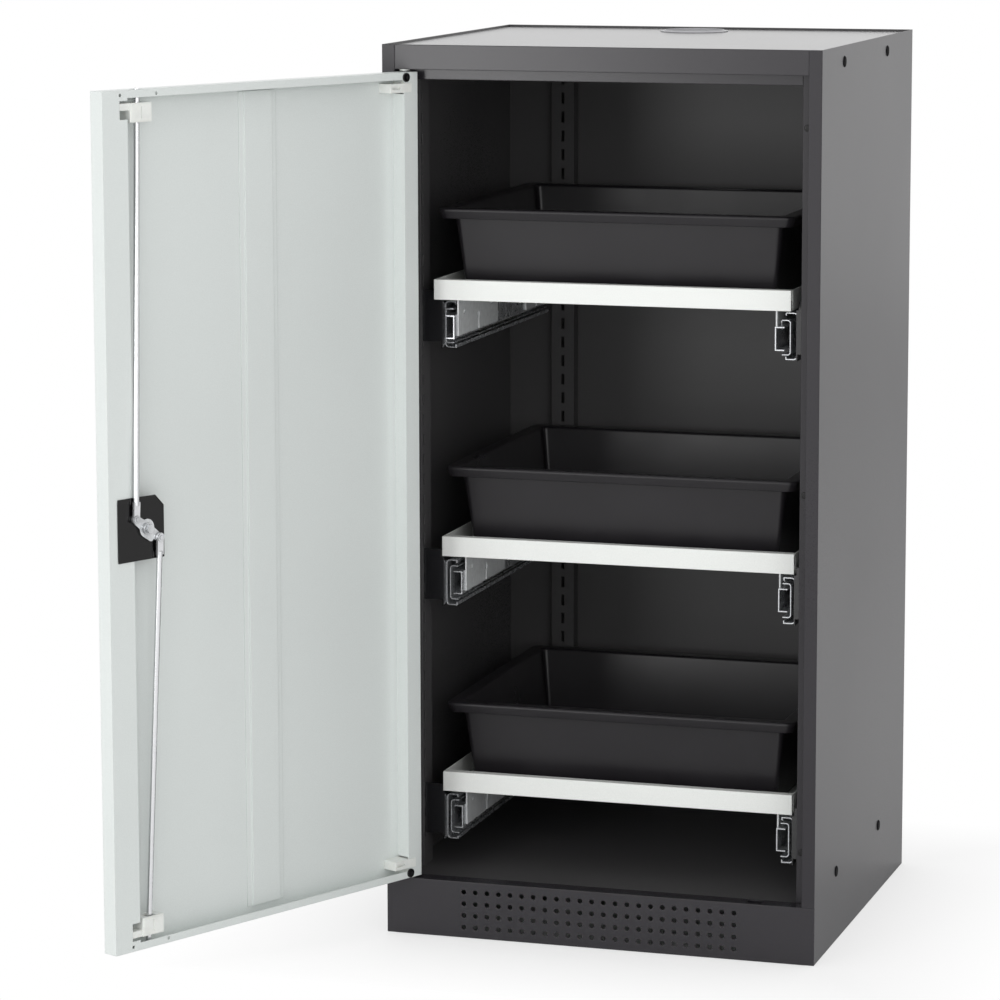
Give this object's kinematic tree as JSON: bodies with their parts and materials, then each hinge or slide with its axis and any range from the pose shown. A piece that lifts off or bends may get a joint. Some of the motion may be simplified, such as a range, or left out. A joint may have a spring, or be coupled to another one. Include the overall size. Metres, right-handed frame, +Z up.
{
  "type": "reagent drawer cabinet",
  "caption": "Low steel reagent cabinet with one hinged door, a rod lock and pull-out shelves that carry plastic trays on ball slides.",
  "frame": {"origin": "on the floor, under the middle of the cabinet's footprint", "axes": "+Z up, -Y out of the door opening, +X to the right of someone who faces the cabinet"},
  "size_m": [0.7411, 0.9698, 1.105],
  "materials": {
    "carcass_paint": "fine-textured anthracite powder coat",
    "inner_paint": "anthracite powder coat inside the cabinet",
    "black_steel": "black-finished carrier steel",
    "black_plastic": "satin moulded plastic",
    "grey_plastic": "smooth light grey plastic",
    "door_paint": "light grey powder coat",
    "white_nylon": "white moulded nylon",
    "zinc": "bright zinc plate",
    "galvanised": "galvanised sheet steel",
    "ball_steel": "hardened balls in a plated cage",
    "shelf_paint": "pure white powder coat",
    "tray_plastic": "dark grey moulded polypropylene"
  },
  "bodies": {
    "cabinet": {"side_panel_left": "carcass_paint", "side_panel_right": "carcass_paint", "header": "carcass_paint", "plinth": "carcass_paint", "floor_panel": "inner_paint", "back_panel": "carcass_paint", "top_panel": "carcass_paint", "exhaust_collar": "grey_plastic", "front_uprights": "inner_paint", "rear_uprights": "inner_paint", "side_plugs": "black_plastic", "hinge_bushes": "white_nylon", "door_buffers": "black_plastic", "levelling_feet": "black_plastic", "foot_brackets": "black_steel", "base_frame": "carcass_paint", "carriers_1": "black_steel", "outer_rails_1": "zinc", "carriers_2": "black_steel", "outer_rails_2": "zinc", "carriers_3": "black_steel", "outer_rails_3": "zinc"},
    "door": {"door_pan": "door_paint", "door_stiffener": "door_paint", "hinge_blocks": "white_nylon", "hinge_pins": "zinc", "door_grommets": "black_plastic", "rod_guide_top": "white_nylon", "rod_guide_bottom": "white_nylon", "lock_case": "black_plastic", "lock_escutcheon": "black_plastic"},
    "handle": {"lock_lever": "black_plastic", "lock_cylinder": "zinc", "lock_cam": "zinc", "cam_clips": "zinc"},
    "upper_rod": {"upper_rod": "zinc"},
    "lower_rod": {"lower_rod": "zinc"},
    "drawer_1": {"inner_rails_1": "zinc", "slide_brackets_1": "galvanised", "shelf_1": "shelf_paint", "tray_1": "tray_plastic"},
    "middle_slide_1": {"middle_rails_1": "zinc"},
    "outer_cage_1": {"outer_cages_1": "ball_steel"},
    "inner_cage_1": {"inner_cages_1": "ball_steel"},
    "drawer_2": {"inner_rails_2": "zinc", "slide_brackets_2": "galvanised", "shelf_2": "shelf_paint", "tray_2": "tray_plastic"},
    "middle_slide_2": {"middle_rails_2": "zinc"},
    "outer_cage_2": {"outer_cages_2": "ball_steel"},
    "inner_cage_2": {"inner_cages_2": "ball_steel"},
    "drawer_3": {"inner_rails_3": "zinc", "slide_brackets_3": "galvanised", "shelf_3": "shelf_paint", "tray_3": "tray_plastic"},
    "middle_slide_3": {"middle_rails_3": "zinc"},
    "outer_cage_3": {"outer_cages_3": "ball_steel"},
    "inner_cage_3": {"inner_cages_3": "ball_steel"}
  },
  "joints": [
    {"name": "door_hinge", "type": "hinge", "parent": "cabinet", "child": "door", "pos_m": [-0.24575, -0.2535, 1.075], "axis": [0, 0, -1], "range_deg": [-115.6, 0]},
    {"name": "lock_turn", "type": "hinge", "parent": "door", "child": "handle", "pos_m": [-0.43824, -0.65527, 0.57], "axis": [0.9018, -0.4321, 0], "range_deg": [-55, 0]},
    {"name": "upper_rod_pivot", "type": "hinge", "parent": "handle", "child": "upper_rod", "pos_m": [-0.4298, -0.6793, 0.58262], "axis": [0.9018, -0.4321, 0], "range_deg": [0, 57.27]},
    {"name": "lower_rod_pivot", "type": "hinge", "parent": "handle", "child": "lower_rod", "pos_m": [-0.41422, -0.64679, 0.55738], "axis": [0.9018, -0.4321, 0], "range_deg": [0, 57.32]},
    {"name": "drawer_slide_1", "type": "slide", "parent": "cabinet", "child": "drawer_1", "axis": [0, -1, 0], "range_m": [-0.028, 0.352]},
    {"name": "middle_slide_travel_1", "type": "slide", "parent": "cabinet", "child": "middle_slide_1", "axis": [0, -1, 0], "range_m": [-0.014, 0.176]},
    {"name": "outer_cage_travel_1", "type": "slide", "parent": "cabinet", "child": "outer_cage_1", "axis": [0, -1, 0], "range_m": [-0.007, 0.088]},
    {"name": "inner_cage_travel_1", "type": "slide", "parent": "cabinet", "child": "inner_cage_1", "axis": [0, -1, 0], "range_m": [-0.021, 0.264]},
    {"name": "drawer_slide_2", "type": "slide", "parent": "cabinet", "child": "drawer_2", "axis": [0, -1, 0], "range_m": [0, 0.38]},
    {"name": "middle_slide_travel_2", "type": "slide", "parent": "cabinet", "child": "middle_slide_2", "axis": [0, -1, 0], "range_m": [0, 0.19]},
    {"name": "outer_cage_travel_2", "type": "slide", "parent": "cabinet", "child": "outer_cage_2", "axis": [0, -1, 0], "range_m": [0, 0.095]},
    {"name": "inner_cage_travel_2", "type": "slide", "parent": "cabinet", "child": "inner_cage_2", "axis": [0, -1, 0], "range_m": [0, 0.285]},
    {"name": "drawer_slide_3", "type": "slide", "parent": "cabinet", "child": "drawer_3", "axis": [0, -1, 0], "range_m": [0, 0.38]},
    {"name": "middle_slide_travel_3", "type": "slide", "parent": "cabinet", "child": "middle_slide_3", "axis": [0, -1, 0], "range_m": [0, 0.19]},
    {"name": "outer_cage_travel_3", "type": "slide", "parent": "cabinet", "child": "outer_cage_3", "axis": [0, -1, 0], "range_m": [0, 0.095]},
    {"name": "inner_cage_travel_3", "type": "slide", "parent": "cabinet", "child": "inner_cage_3", "axis": [0, -1, 0], "range_m": [0, 0.285]}
  ],
  "couplings": [
    {"joint": "upper_rod_pivot", "follows": "lock_turn", "ratio": -1.0403},
    {"joint": "lower_rod_pivot", "follows": "lock_turn", "ratio": -1.0412},
    {"joint": "middle_slide_travel_1", "follows": "drawer_slide_1", "ratio": 0.5},
    {"joint": "outer_cage_travel_1", "follows": "drawer_slide_1", "ratio": 0.25},
    {"joint": "inner_cage_travel_1", "follows": "drawer_slide_1", "ratio": 0.75},
    {"joint": "middle_slide_travel_2", "follows": "drawer_slide_2", "ratio": 0.5},
    {"joint": "outer_cage_travel_2", "follows": "drawer_slide_2", "ratio": 0.25},
    {"joint": "inner_cage_travel_2", "follows": "drawer_slide_2", "ratio": 0.75},
    {"joint": "middle_slide_travel_3", "follows": "drawer_slide_3", "ratio": 0.5},
    {"joint": "outer_cage_travel_3", "follows": "drawer_slide_3", "ratio": 0.25},
    {"joint": "inner_cage_travel_3", "follows": "drawer_slide_3", "ratio": 0.75}
  ]
}
